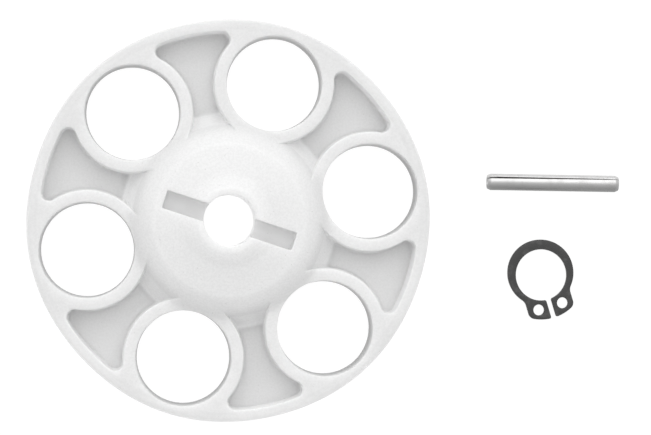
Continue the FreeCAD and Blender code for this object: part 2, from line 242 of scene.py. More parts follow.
def merge_points(mesh: bpy.types.Mesh, distance: float) -> None:
    """Merges points that meet and drops faces that have no area.

    Args:
        mesh: The mesh to change.
        distance: How near two points are that meet, in metres.
    """
    work = bmesh.new()
    work.from_mesh(mesh)
    bmesh.ops.remove_doubles(work, verts=work.verts, dist=distance)
    bmesh.ops.dissolve_degenerate(work, edges=work.edges, dist=distance / 4)
    work.to_mesh(mesh)
    work.free()
    mesh.update()


def open_edges(mesh: bpy.types.Mesh) -> int:
    """How many edges of a mesh don't have exactly two faces."""
    work = bmesh.new()
    work.from_mesh(mesh)
    count = sum(1 for edge in work.edges if len(edge.link_faces) != 2)
    work.free()
    return count


# ---------------------------------------------------------------- shaders

class Value:
    """A shader socket that can be used in arithmetic; each operator adds one Math node."""

    def __init__(self, shader: "Shader", socket: bpy.types.NodeSocket) -> None:
        """Wraps an output socket of a shader."""
        self.shader = shader
        self.socket = socket

    def _math(self, operation: str, *inputs: object) -> "Value":
        """Adds a Math node and returns its result."""
        node = self.shader.node("ShaderNodeMath", {"operation": operation}, dict(enumerate(inputs)))
        return Value(self.shader, node.outputs[0])

    def __add__(self, other: object) -> "Value":
        """Sum with a value or a number."""
        return self._math("ADD", self, other)

    def __radd__(self, other: object) -> "Value":
        """Sum of a number and the value."""
        return self._math("ADD", other, self)

    def __sub__(self, other: object) -> "Value":
        """Difference from a value or a number."""
        return self._math("SUBTRACT", self, other)

    def __rsub__(self, other: object) -> "Value":
        """Difference of a number and the value."""
        return self._math("SUBTRACT", other, self)

    def __mul__(self, other: object) -> "Value":
        """Product with a value or a number."""
        return self._math("MULTIPLY", self, other)

    def __abs__(self) -> "Value":
        """Size without sign."""
        return self._math("ABSOLUTE", self)

    def __mod__(self, other: object) -> "Value":
        """Remainder, never negative."""
        return self._math("FLOORED_MODULO", self, other)

    def __pow__(self, other: object) -> "Value":
        """Power."""
        return self._math("POWER", self, other)

    def angle_with(self, along: "Value") -> "Value":
        """The angle whose rise is this value and whose run is another."""
        return self._math("ARCTAN2", self, along)

    def sine(self) -> "Value":
        """Sine of an angle in radians."""
        return self._math("SINE", self)

    def cosine(self) -> "Value":
        """Cosine of an angle in radians."""
        return self._math("COSINE", self)

    def fade(self, start: float, end: float) -> "Value":
        """A smooth step from 0 at one value to 1 at another, either way round."""
        low, high = min(start, end), max(start, end)
        targets = (0.0, 1.0) if start < end else (1.0, 0.0)
        settings = {"interpolation_type": "SMOOTHSTEP", "data_type": "FLOAT"}
        inputs = {
            "Value": self, "From Min": low, "From Max": high, "To Min": targets[0], "To Max": targets[1],
        }
        node = self.shader.node("ShaderNodeMapRange", settings, inputs)
        return Value(self.shader, node.outputs[0])


class Shader:
    """Builds one material's node tree."""

    def __init__(self, name: str) -> None:
        """Starts a material with one Principled shader, which stays where the output reads it."""
        self.material = bpy.data.materials.new(name)
        self.material.use_nodes = True
        self.tree = self.material.node_tree
        self.surface = self.tree.nodes["Principled BSDF"]
        self.place = self.node("ShaderNodeTexCoord", {}, {}).outputs["Object"]

    def node(self, kind: str, settings: dict, inputs: dict) -> bpy.types.Node:
        """Adds a node.

        Args:
            kind: The node's type.
            settings: Its properties, which are set first.
            inputs: Numbers, sockets or values for its inputs, by name or number.

        Returns:
            The node.
        """
        node = self.tree.nodes.new(kind)
        for name, setting in settings.items():
            setattr(node, name, setting)
        for name, given in inputs.items():
            socket = node.inputs[name]
            if isinstance(given, Value):
                self.tree.links.new(given.socket, socket)
            elif isinstance(given, bpy.types.NodeSocket):
                self.tree.links.new(given, socket)
            else:
                socket.default_value = given
        return node

    def constants(self, **values: object) -> None:
        """Sets numbers and colours that are the same all over the surface, on the shader itself."""
        for name, value in values.items():
            self.surface.inputs[name.replace("_", " ")].default_value = value

    def feed(self, socket: str, source: object) -> None:
        """Links a varying value or colour to the shader."""
        link = source.socket if isinstance(source, Value) else source
        self.tree.links.new(link, self.surface.inputs[socket])

    def stretched(self, scale: tuple[float, float, float], turn: float = 0.0) -> bpy.types.NodeSocket:
        """Object coordinates, turned about Z by degrees and then stretched."""
        rotation = (0, 0, math.radians(turn))
        turned = self.node("ShaderNodeMapping", {}, {"Vector": self.place, "Rotation": rotation})
        return self.node("ShaderNodeMapping", {}, {"Vector": turned.outputs[0], "Scale": scale}).outputs[0]

    def noise(self, scale: float, detail: float = 3.0, rough: float = 0.5, at: object = None) -> Value:
        """Cloudy noise, by how many lumps there are to a metre."""
        inputs = {"Vector": at or self.place, "Scale": scale, "Detail": detail, "Roughness": rough}
        return Value(self, self.node("ShaderNodeTexNoise", {}, inputs).outputs[0])

    def axes(self) -> tuple[Value, Value, Value]:
        """The three Object coordinates as values."""
        node = self.node("ShaderNodeSeparateXYZ", {}, {0: self.place})
        return tuple(Value(self, socket) for socket in node.outputs)

    def mix(self, share: Value, first: object, second: object) -> bpy.types.NodeSocket:
        """A colour between two colours."""
        node = self.node("ShaderNodeMix", {"data_type": "RGBA"}, {0: share, 6: first, 7: second})
        return node.outputs[2]

    def relief(
        self, height: Value, depth: float, below: bpy.types.NodeSocket | None = None
    ) -> bpy.types.NodeSocket:
        """Fine relief, in metres of depth, over any relief below it."""
        inputs = {"Height": height, "Distance": depth, "Strength": 1.0}
        if below:
            inputs["Normal"] = below
        return self.node("ShaderNodeBump", {}, inputs).outputs[0]


def grey(level: float, warmth: float = 0.0) -> tuple[float, float, float, float]:
    """A grey, warmed a little towards yellow."""
    return (level * (1 + warmth), level, level * (1 - warmth), 1.0)


@dataclass(frozen=True)
class NylonFinish:
    """White moulded nylon: satin, faintly cloudy and grained, with painted shade and painted light in places.

    The tones are greys from 0 to 1. Places and heights are in metres, and each pair of them says where a
    tone starts and where it is at its full strength.
    """

    turn: float
    holes: int
    hole_at: float
    hole_r: float
    slot_half: float
    slot_half_width: float
    light: float = 0.79
    cloud: float = 0.77
    # Painted shade on the pocket floors, where the web is thin.
    web_shade: float = 0.74
    # Painted light on the hub's top, rising with height.
    hub_painted_light: float = 0.83
    rim: float = 0.75
    # Painted shade on the rim's outer wall, below its top edge.
    rim_wall_shade: float = 0.67
    # Painted light on the walls and floor of the pin's slot.
    slot: float = 0.86
    # Painted light on the pockets' walls and round the hub's foot.
    sides: float = 0.89
    # Painted light on the bore's wall.
    bore: float = 0.97
    # Painted shade on the holes' walls: its grey at the top and at the bottom.
    hole_shade_top: float = 0.60
    hole_shade_bottom: float = 0.28
    speckle: float = 0.55
    speckle_share: float = 0.16
    fleck: float = 0.5
    fleck_share: float = 0.35
    roughness: float = 0.38
    refraction: float = 1.53
    subsurface: float = 1.0
    bleed: float = 0.0030
    edge_soft: float = 0.00002
    web_above: tuple[float, float] = (0.0042, 0.0028)
    web_below: tuple[float, float] = (0.0008, 0.0016)
    hub_height: tuple[float, float] = (0.0082, 0.0105)
    hole_height: tuple[float, float] = (0.0079, 0.0073)
    hole_shade_height: tuple[float, float] = (0.0078, 0.0020)
    slot_height: tuple[float, float] = (0.0080, 0.0082)
    side_foot: tuple[float, float] = (0.0027, 0.0034)
    side_top: tuple[float, float] = (0.0078, 0.0071)
    side_inner: tuple[float, float] = (0.0168, 0.0208)
    side_outer: tuple[float, float] = (0.0386, 0.0380)
    rim_radius: tuple[float, float] = (0.0376, 0.0382)
    lip_radius: tuple[float, float] = (0.0387, 0.0397)
    lip_height: tuple[float, float] = (0.0070, 0.0077)
    bore_radius: tuple[float, float] = (0.00522, 0.00512)
    bore_height: tuple[float, float] = (0.0002, 0.0004)

    def in_slot(self, shader: Shader) -> Value:
        """1 on the walls and floor of the pin's slot, 0 elsewhere."""
        angle = math.radians(self.turn - 180.0 / self.holes)
        x, y, z = shader.axes()
        along = abs(x * math.cos(angle) + y * math.sin(angle))
        across = abs(y * math.cos(angle) - x * math.sin(angle))
        within = across.fade(self.slot_half_width + self.edge_soft, self.slot_half_width - self.edge_soft)
        ends = along.fade(self.slot_half + self.edge_soft, self.slot_half - self.edge_soft)
        return within * ends * z.fade(*self.slot_height)

    def from_hole(self, shader: Shader) -> Value:
        """Distance from the middle of the nearest hole, in metres."""
        x, y, _ = shader.axes()
        step = math.tau / self.holes
        radius = (x * x + y * y) ** 0.5
        angle = (y.angle_with(x) - math.radians(self.turn) + step / 2) % step - step / 2
        along = radius * angle.cosine() - self.hole_at
        across = radius * angle.sine()
        return (along * along + across * across) ** 0.5

    def tones(self, shader: Shader, cloud: Value, grain: Value) -> bpy.types.NodeSocket:
        """The colour all over the wheel, before the flecks, with painted shade and painted light in places.

        Args:
            shader: The shader that the colour is for.
            cloud: 1 where the nylon is cloudy.
            grain: Fine noise about 0.5.

        Returns:
            The colour.
        """
        x, y, height = shader.axes()
        radius = (x * x + y * y) ** 0.5
        # Where the pocket floors take their painted shade, by height.
        web = height.fade(*self.web_above) * height.fade(*self.web_below)
        # Painted light on the pockets' walls and round the hub's foot, within these radii and heights.
        between = radius.fade(*self.side_inner) * radius.fade(*self.side_outer)
        sides = height.fade(*self.side_foot) * height.fade(*self.side_top) * between
        # Painted shade on the rim's outer wall, below its top edge.
        rim_wall_shade = radius.fade(*self.lip_radius) * height.fade(*self.lip_height)
        # Painted light on the bore's wall, above its lowest edge.
        bore = radius.fade(*self.bore_radius) * height.fade(*self.bore_height)
        # Painted shade on the holes' walls, darker towards the bottom.
        hole = self.from_hole(shader).fade(self.hole_r + 3 * self.edge_soft, self.hole_r)
        wall = shader.mix(height.fade(*self.hole_shade_height), grey(self.hole_shade_top), grey(self.hole_shade_bottom))
        colour = shader.mix(cloud, grey(self.light), grey(self.cloud))
        for share, tone in (
            # Painted shade on the pocket floors, then painted light on the hub's top.
            (web, grey(self.web_shade)), (height.fade(*self.hub_height), grey(self.hub_painted_light)),
            # A darker grey on the rim, then painted light on the pockets' walls.
            (radius.fade(*self.rim_radius), grey(self.rim)), (sides, grey(self.sides)),
            # Painted shade on the rim's outer wall, then painted light on the bore's wall.
            (rim_wall_shade, grey(self.rim_wall_shade)), (bore, grey(self.bore)),
            (grain.fade(0.35, 0.65) * self.speckle_share, grey(self.speckle)),
            # Painted light in the slot, then painted shade on the holes' walls.
            (self.in_slot(shader), grey(self.slot)), (hole * height.fade(*self.hole_height), wall),
        ):
            colour = shader.mix(share, colour, tone)
        return colour

    def material(self) -> bpy.types.Material:
        """The finish as a material."""
        shader = Shader("white_nylon")
        shader.constants(
            IOR=self.refraction, Subsurface_Weight=self.subsurface, Subsurface_Radius=(1.0, 1.0, 1.0),
            Subsurface_Scale=self.bleed, Metallic=0.0,
        )
        cloud = shader.noise(160, 4, 0.55).fade(0.35, 0.7)
        grain = shader.noise(2300, 2, 0.6)
        scuff = shader.noise(900, 3, 0.6, shader.stretched((1.0, 0.06, 1.0), 33)).fade(0.66, 0.74)
        fleck = shader.noise(2600, 0, 0.5).fade(0.80, 0.84)
        tones = self.tones(shader, cloud, grain)
        colour = shader.mix(fleck * self.fleck_share, tones, grey(self.fleck, 0.02))
        shader.feed("Base Color", colour)
        shader.feed("Roughness", self.roughness + cloud * 0.05 + scuff * 0.12 + (grain - 0.5) * 0.06)
        waves = shader.relief(shader.noise(240, 2, 0.5), 0.00004)
        scored = shader.relief(1 - scuff, 0.000004, waves)
        shader.feed("Normal", shader.relief(grain, 0.000006, scored))
        return shader.material


@dataclass(frozen=True)
class PinFinish:
    """Bright rolled spring steel with lengthwise drawing lines, and painted shade along its side away from
    the light.
    """

    turn: float
    at: tuple[float, float]
    radius: float
    steel: float = 0.64
    dull: float = 0.57
    # Painted shade: its grey, and where it starts and is full, across the pin in radii from its axis.
    shaded: float = 0.24
    shade: tuple[float, float] = (0.3, -1.05)
    roughness: float = 0.40

    def material(self) -> bpy.types.Material:
        """The finish as a material."""
        shader = Shader("rolled_steel")
        shader.constants(Metallic=1.0)
        along = shader.stretched((0.03, 1.0, 1.0), -self.turn)
        lines = shader.noise(9000, 3, 0.6, along)
        stain = shader.noise(420, 3, 0.6).fade(0.45, 0.75)
        angle = math.radians(self.turn)
        x, y, _ = shader.axes()
        # Painted shade, darker across the pin towards its side away from the light.
        across = (y - self.at[1]) * math.cos(angle) - (x - self.at[0]) * math.sin(angle)
        painted_shade_share = across.fade(self.radius * self.shade[0], self.radius * self.shade[1])
        colour = shader.mix(stain, grey(self.steel, 0.003), grey(self.dull, 0.006))
        shader.feed("Base Color", shader.mix(painted_shade_share, colour, grey(self.shaded)))
        shader.feed("Roughness", self.roughness + (lines - 0.5) * 0.14 + stain * 0.05)
        shader.feed("Normal", shader.relief(lines, 0.000004))
        return shader.material


@dataclass(frozen=True)
class RingFinish:
    """Dark phosphated and oiled spring steel, rubbed lighter in places."""

    dark: float = 0.052
    rubbed: float = 0.10
    roughness: float = 0.46

    def material(self) -> bpy.types.Material:
        """The finish as a material."""
        shader = Shader("phosphated_steel")
        shader.constants(Metallic=0.55)
        crystals = shader.noise(7000, 3, 0.7)
        worn = shader.noise(650, 4, 0.6).fade(0.5, 0.72)
        share = worn * 0.6 + crystals * 0.2
        shader.feed("Base Color", shader.mix(share, grey(self.dark), grey(self.rubbed, 0.01)))
        shader.feed("Roughness", self.roughness + (crystals - 0.5) * 0.2 - worn * 0.08)
        shader.feed("Normal", shader.relief(crystals, 0.000008))
        return shader.material


# ---------------------------------------------------------------- pieces

def closed_object(name: str, mesh: bpy.types.Mesh, material: bpy.types.Material) -> bpy.types.Object:
    """Puts a mesh in the scene with smooth, area-weighted normals.

    Args:
        name: The object's name.
        mesh: Its mesh, in metres, in the row frame.
        material: Its finish.

    Returns:
        The object, at the origin, with no modifiers left.
    """
    work = bpy.data.objects.new(name + "_work", mesh)
    bpy.context.scene.collection.objects.link(work)
    mesh.shade_smooth()
    normals = work.modifiers.new("normals", "WEIGHTED_NORMAL")
    normals.weight = 80
    final = plain_mesh(work, name)
    final.materials.clear()
    final.materials.append(material)
    piece = bpy.data.objects.new(name, final)
    bpy.context.scene.collection.objects.link(piece)
    bpy.data.objects.remove(work)
    return piece


def plain_mesh(work: bpy.types.Object, name: str) -> bpy.types.Mesh:
    """The mesh that an object's modifiers make, with no modifier left on it."""
    graph = bpy.context.evaluated_depsgraph_get()
    mesh = bpy.data.meshes.new_from_object(work.evaluated_get(graph), depsgraph=graph)
    mesh.name = name
    work.modifiers.clear()
    return mesh


@dataclass
class RoundRepeat:
    """A Geometry Nodes tree that repeats one sector evenly round the Z axis and closes its seams."""

    name: str = "round_repeat"
    tree: bpy.types.NodeTree = field(init=False)

    def __post_init__(self) -> None:
        """Builds the tree."""
        self.tree = bpy.data.node_groups.new(self.name, "GeometryNodeTree")
        face = self.tree.interface
        face.new_socket("Sector", in_out="INPUT", socket_type="NodeSocketGeometry")
        face.new_socket("Count", in_out="INPUT", socket_type="NodeSocketInt")
        face.new_socket("Seam", in_out="INPUT", socket_type="NodeSocketFloat")
        face.new_socket("Centre", in_out="INPUT", socket_type="NodeSocketObject")
        face.new_socket("Finish", in_out="INPUT", socket_type="NodeSocketMaterial")
        face.new_socket("Whole", in_out="OUTPUT", socket_type="NodeSocketGeometry")
        given = self._add("NodeGroupInput")
        points = self._add("GeometryNodePoints", Count=given.outputs["Count"])
        index = self._add("GeometryNodeInputIndex")
        step = self._add("ShaderNodeMath", {"operation": "DIVIDE"})
        step.inputs[0].default_value = math.tau
        self.tree.links.new(given.outputs["Count"], step.inputs[1])
        turn = self._add("ShaderNodeMath", {"operation": "MULTIPLY"})
        self.tree.links.new(index.outputs[0], turn.inputs[0])
        self.tree.links.new(step.outputs[0], turn.inputs[1])
        spin = self._add("ShaderNodeCombineXYZ", Z=turn.outputs[0])
        copies = self._add("GeometryNodeInstanceOnPoints", Points=points.outputs[0],
                           Instance=given.outputs["Sector"], Rotation=spin.outputs[0])
        plain = self._add("GeometryNodeRealizeInstances", Geometry=copies.outputs[0])
        centre = self._add("GeometryNodeObjectInfo", Object=given.outputs["Centre"])
        joined = self._add("GeometryNodeJoinGeometry")
        self.tree.links.new(plain.outputs[0], joined.inputs[0])
        self.tree.links.new(centre.outputs["Geometry"], joined.inputs[0])
        merged = self._add(
            "GeometryNodeMergeByDistance", Geometry=joined.outputs[0], Distance=given.outputs["Seam"]
        )
        done = self._add(
            "GeometryNodeSetMaterial", Geometry=merged.outputs[0], Material=given.outputs["Finish"]
        )
        out = self._add("NodeGroupOutput")
        self.tree.links.new(done.outputs[0], out.inputs[0])

    def _add(self, kind: str, settings: dict | None = None, **links: bpy.types.NodeSocket) -> bpy.types.Node:
        """Adds a node with its settings and links."""
        node = self.tree.nodes.new(kind)
        for name, setting in (settings or {}).items():
            setattr(node, name, setting)
        for name, source in links.items():
            self.tree.links.new(source, node.inputs[name])
        return node

    def apply(self, work: bpy.types.Object, values: dict[str, object]) -> bpy.types.Mesh:
        """Runs the tree on an object.

        Args:
            work: The object whose mesh is one sector.
            values: The tree's inputs, by name.

        Returns:
            The whole shape as a plain mesh.
        """
        modifier = work.modifiers.new(self.name, "NODES")
        modifier.node_group = self.tree
        items = self.tree.interface.items_tree
        sockets = {item.name: item.identifier for item in items if item.in_out == "INPUT"}
        for name, value in values.items():
            modifier[sockets[name]] = value
        return plain_mesh(work, work.name)


# Radii of the wheel's round mesh lines, in millimetres: closer together where it curves.
HUB_LINES = (14.4, 14.62, 14.8, 14.95, 15.1, 15.25, 15.4, 15.6, 16.1, 16.7, 17.3, 17.8, 18.2, 18.5, 18.8)
FOOT_LINES = (19.1, 19.5, 19.9, 20.3, 20.7, 21.05, 21.3, 21.5, 21.75, 22.1, 22.6)
WEB_LINES = (23.2, 36.5, 0.9)
RIM_LINES = (38.2, 38.8)
CROWN_LINES = (
    13.9, 13.2, 12.4, 11.6, 10.8, 10.1, 9.75, 9.45, 9.18, 8.9, 8.6, 8.2, 7.7, 7.2, 6.85, 6.6, 6.42, 6.28,
    6.14, 5.95, 5.75,
)
BACK_LINES = (19.5, 39.3, 1.3)
# The same round a hole, from its middle, and along the slot's floor and in from its ends.
RING_LINES = (10.15, 10.75)
FLOOR_LINES = (1.6, 1.35, 1.05, 0.7, 0.35, 0.0)
END_LINES = (0.12, 0.2, 0.32, 0.5)


@dataclass
class DriveWheel:
    """The moulded wheel: web, rim, six holed rings, domed hub with its slot, and a cored back."""

    turn: float = 11.7
    holes: int = 6
    rim_r: float = 39.98
    rim_inner: float = 37.47
    land_z: float = 8.0
    floor_z: float = 2.6
    hole_at: float = 28.62
    hole_r: float = 9.24
    hole_mouth_r: float = 9.5
    hole_edge: float = 0.2
    ring_r: float = 11.91
    corner: float = 1.6
    edge: float = 0.4
    rim_edge: float = 0.24
    draft: float = 0.1
    floor_fillet: float = 0.7
    fillet_fade: float = 1.4
    ripple: float = 0.26
    ripple_from: float = 38.5
    bore_r: float = 5.08
    bore_mouth: float = 0.22
    collar: tuple[float, float] = (6.28, 15.0)
    shoulder: tuple[float, float] = (9.18, 13.4)
    crease: tuple[float, float] = (15.1, 11.9)
    hub_foot: tuple[float, float] = (18.8, 8.0)
    skirt_foot: tuple[float, float] = (21.45, 2.6)
    flank_bulge: float = 12.0
    blend: float = 2.5
    foot_blend: float = 2.2
    slot_half: float = 13.4
    slot_half_width: float = 1.83
    slot_floor: float = 8.35
    slot_floor_r: float = 2.1
    slot_edge: float = 0.16
    slot_corner: float = 0.22
    slot_draft: float = 0.06
    slot_end_r: float = 0.5
    boss_r: float = 7.68
    core_roof: float = 5.85
    core_back_r: float = 17.05
    core_top_r: float = 16.4
    core_draft: float = 0.1
    rib_half: float = 1.1
    rib_recess: float = 0.6
    rib_draft: float = 0.08
    join_top: float = 14.4
    join_back: float = 6.5

    def __post_init__(self) -> None:
        """Works out the shapes that several methods share."""
        self.half_turn = 180.0 / self.holes
        self.hub_line = self._hub_line()
        self.corner_at = self._corner_centre()

    def _hub_line(self) -> Array:
        """The hub's profile from the bore out, as (radius, height) points."""
        start, end = np.array(self.crease), np.array(self.hub_foot)
        chord = end - start
        half = np.linalg.norm(chord) / 2
        out = np.array((-chord[1], chord[0])) / (2 * half)
        sink = math.sqrt(self.flank_bulge ** 2 - half ** 2)
        centre = (start + end) / 2 - out * sink
        first = math.degrees(math.atan2(*(start - centre)[::-1]))
        last = math.degrees(math.atan2(*(end - centre)[::-1]))
        flank = arc(tuple(centre), self.flank_bulge, first, last, 16)
        rough = [(self.bore_r, self.collar[1]), self.collar, self.shoulder, self.crease]
        rough += [tuple(p) for p in flank[4:]] + [self.skirt_foot, (self.rim_r, self.skirt_foot[1] - 40)]
        reaches = [0.34, 0.55, 0.42] + [0.05] * (len(rough) - 5)
        return filleted_profile(rough, reaches)

    def hub_height(self, radius: Array) -> Array:
        """The hub's height at a distance from the axis, falling steeply below the web outside its foot."""
        return np.interp(radius, self.hub_line[:, 0], self.hub_line[:, 1])

    def _corner_centre(self) -> Array:
        """Centre of the fillet between the rim and a hole's ring."""
        far, near = self.rim_inner - self.corner, self.ring_r + self.corner
        x = (far ** 2 - near ** 2 + self.hole_at ** 2) / (2 * self.hole_at)
        return np.array((x, math.sqrt(far ** 2 - x ** 2)))

    def pocket_inset(self, points: Array) -> Array:
        """Distance inside a pocket's wall, negative on the land, within one half sector."""
        from_rim = self.rim_inner - np.hypot(points[:, 0], points[:, 1])
        from_ring = np.hypot(points[:, 0] - self.hole_at, points[:, 1]) - self.ring_r
        inset = np.minimum(from_rim, from_ring)
        to_rim = self.corner_at / np.linalg.norm(self.corner_at)
        to_ring = np.array((self.hole_at, 0.0)) - self.corner_at
        to_ring /= np.linalg.norm(to_ring)
        shares = np.linalg.solve(np.column_stack((to_rim, to_ring)), (points - self.corner_at).T)
        in_corner = (shares[0] > 0) & (shares[1] > 0)
        distance = np.hypot(*(points - self.corner_at).T)
        return np.where(in_corner, self.corner - distance, inset)

    def pocket_loop(self, inset: float) -> Array:
        """The pocket's wall line in one half sector, moved inwards by an inset."""
        ring_end = self.hole_at * np.array((1, 0)) - self.corner_at
        ring_angle = math.degrees(math.atan2(-ring_end[1], -ring_end[0]))
        start = 180.0
        ring = arc((self.hole_at, 0.0), self.ring_r + inset, start, ring_angle, 78)
        rim_angle = math.degrees(math.atan2(self.corner_at[1], self.corner_at[0]))
        turned = ring_angle + 180.0
        fillet = arc(tuple(self.corner_at), self.corner - inset, turned - 360.0, rim_angle, 16)
        rim = arc((0.0, 0.0), self.rim_inner - inset, rim_angle, self.half_turn, 26)
        return np.vstack((ring, fillet[1:], rim[1:]))

    def top_height(self, points: Array) -> Array:
        """The top's height at points of one half sector, outside the hub's middle."""
        radius = np.hypot(points[:, 0], points[:, 1])
        hub = self.hub_height(radius)
        inset = self.pocket_inset(points)
        from_hole = np.hypot(points[:, 0] - self.hole_at, points[:, 1]) - self.hole_mouth_r
        land = self.land_z - edge_drop(-np.minimum(inset, 0.0), self.edge)
        land -= edge_drop(np.maximum(from_hole, 0.0), self.hole_edge)
        land -= edge_drop(np.maximum(self.rim_r - radius, 0.0), self.rim_edge)
        on_land = smooth_max(land, hub, self.blend)
        base = smooth_max(np.full_like(radius, self.floor_z), hub, self.foot_blend)
        rise = edge_drop(np.maximum(inset - self.draft, 0.0), self.floor_fillet)
        in_pocket = base + rise * np.clip((self.land_z - base) / self.fillet_fade, 0.0, 1.0)
        wall = np.clip(inset / self.draft, 0.0, 1.0)
        return np.where(inset <= 0, on_land, on_land * (1 - wall) + in_pocket * wall)

    def rippled(self, points: Array) -> Array:
        """Points with the rim drawn in a little between the holes, as a moulding shrinks."""
        radius = np.hypot(points[:, 0], points[:, 1])
        angle = np.arctan2(points[:, 1], points[:, 0])
        share = np.clip((radius - self.ripple_from) / (self.rim_r - self.ripple_from), 0.0, 1.0)
        pulled = radius - self.ripple * share * (1 - np.cos(self.holes * angle)) / 2
        return points * (pulled / radius)[:, None]

    def in_half_sector(self, centres: Array, inner: float, hole_r: float) -> Array:
        """Whether points lie in the half sector outside a radius and outside the hole."""
        radius = np.hypot(centres[:, 0], centres[:, 1])
        from_hole = np.hypot(centres[:, 0] - self.hole_at, centres[:, 1])
        return (radius > inner) & (from_hole > hole_r)

    def snapped(self, points: Array) -> Array:
        """Points with those nearly on the half sector's two straight sides put right on them."""
        angle = math.radians(self.half_turn)
        out = np.array((math.cos(angle), math.sin(angle)))
        low = np.abs(points[:, 1]) < ON_SIDE
        points[low, 1] = 0.0
        off = points[:, 0] * out[1] - points[:, 1] * out[0]
        high = np.abs(off) < ON_SIDE
        points[high] = np.outer(points[high] @ out, out)
        return points

    def sides(self, drawing: Drawing, inner: float, hole_r: float) -> None:
        """Draws the half sector's two straight sides."""
        angle = math.radians(self.half_turn)
        out = np.array((math.cos(angle), math.sin(angle)))
        along = np.linspace(inner, self.rim_r, 60)
        drawing.line(np.outer(along, out))
        flat = np.column_stack((along, np.zeros_like(along)))
        drawing.line(flat, lambda p: np.abs(p[:, 0] - self.hole_at) > hole_r)

    def rim_and_hole(self, drawing: Drawing, hole_r: float, hole_edge: float) -> None:
        """Draws the rim's and the hole's edge lines, from the wall in to the flat."""
        for inset, _ in quarter_steps(self.rim_edge, 5):
            drawing.line(arc((0, 0), self.rim_r - inset, 0, self.half_turn, 48))
        for inset, _ in quarter_steps(hole_edge, 5):
            drawing.line(arc((self.hole_at, 0), hole_r + inset, 0, 180, 80))

    def top_sector(self) -> tuple[Array, Array]:
        """The top of one half sector.

        Returns:
            Its vertices in millimetres and its triangles, facing up.
        """

        def outside_hole(points: Array) -> Array:
            """Whether points lie clear of the hole's rounded mouth."""
            from_hole = np.hypot(points[:, 0] - self.hole_at, points[:, 1])
            return from_hole > self.hole_mouth_r + self.hole_edge + 0.08

        def off_hub(points: Array) -> Array:
            """Whether points lie outside the hub's foot."""
            return np.hypot(points[:, 0], points[:, 1]) > 18.3

        def near_hub(points: Array) -> Array:
            """Whether points lie round the hub's foot or well inside a pocket."""
            close = np.hypot(points[:, 0], points[:, 1]) < 18.9
            return outside_hole(points) & ((self.pocket_inset(points) > 1.0) | close)

        def in_pocket(points: Array) -> Array:
            """Whether points lie on a pocket's floor, clear of its walls."""
            return self.pocket_inset(points) > 1.3

        def on_rim(points: Array) -> Array:
            """Whether points lie on the flat of the rim."""
            return outside_hole(points) & (self.pocket_inset(points) < -self.edge - 0.1)

        def on_ring(points: Array) -> Array:
            """Whether points lie on the flat of a hole's ring, inside the rim and off the hub."""
            inside = np.hypot(points[:, 0], points[:, 1]) < 38.1
            return (self.pocket_inset(points) < -self.edge - 0.15) & inside & off_hub(points)

        drawing = Drawing()
        self.sides(drawing, self.join_top, self.hole_mouth_r)
        self.rim_and_hole(drawing, self.hole_mouth_r, self.hole_edge)
        for radius in HUB_LINES:
            drawing.line(arc((0, 0), radius, 0, self.half_turn, 24))
        for radius in FOOT_LINES:
            drawing.line(arc((0, 0), radius, 0, self.half_turn, 30), near_hub)
        for inset, _ in quarter_steps(self.edge, 5):
            drawing.line(self.pocket_loop(-inset), off_hub)
        for step in (0.0, 0.03, 0.1, 0.22, 0.4, 0.7):
            drawing.line(self.pocket_loop(self.draft + step), off_hub)
        for radius in np.arange(*WEB_LINES):
            count = max(4, int(radius * math.radians(self.half_turn) / WEB_LINES[2]))
            drawing.line(arc((0, 0), radius, 0, self.half_turn, count), in_pocket)
        for radius in RIM_LINES:
            drawing.line(arc((0, 0), radius, 0, self.half_turn, 48), on_rim)
        for distance in RING_LINES:
            drawing.line(arc((self.hole_at, 0), distance, 0, 180, 80), on_ring)
        flat, triangles = drawing.fill(
            lambda c: self.in_half_sector(c, self.join_top, self.hole_mouth_r), self.snapped
        )
        return np.column_stack((self.rippled(flat), self.top_height(flat))), triangles

    def back_height(self, points: Array) -> Array:
        """The back's height at points of one half sector, outside the bore's mouth."""
        radius = np.hypot(points[:, 0], points[:, 1])
        from_hole = np.hypot(points[:, 0] - self.hole_at, points[:, 1]) - self.hole_r
        height = edge_drop(np.maximum(from_hole, 0.0), self.edge)
        height += edge_drop(np.maximum(self.rim_r - radius, 0.0), self.rim_edge)
        slope = (self.core_back_r - self.core_top_r) / self.core_roof
        inset = np.minimum(radius - self.boss_r, self.core_back_r - radius)
        outer_rise = np.clip((self.core_back_r - radius) / slope, 0.0, self.core_roof)
        inner_rise = np.clip((radius - self.boss_r) / self.core_draft, 0.0, 1.0) * self.core_roof
        core = np.where(inset > 0, np.minimum(outer_rise, inner_rise), 0.0)
        beside = np.clip((points[:, 1] - self.rib_half) / self.rib_draft, 0.0, 1.0)
        rib = np.minimum(core, self.rib_recess)
        return height + rib * (1 - beside) + core * beside

    def back_sector(self) -> tuple[Array, Array]:
        """The back of one half sector.

        Returns:
            Its vertices in millimetres and its triangles, facing up before they are turned over.
        """

        def outside_hole(points: Array) -> Array:
            """Whether points lie clear of the hole's rounded edge."""
            return np.hypot(points[:, 0] - self.hole_at, points[:, 1]) > self.hole_r + self.edge + 0.4

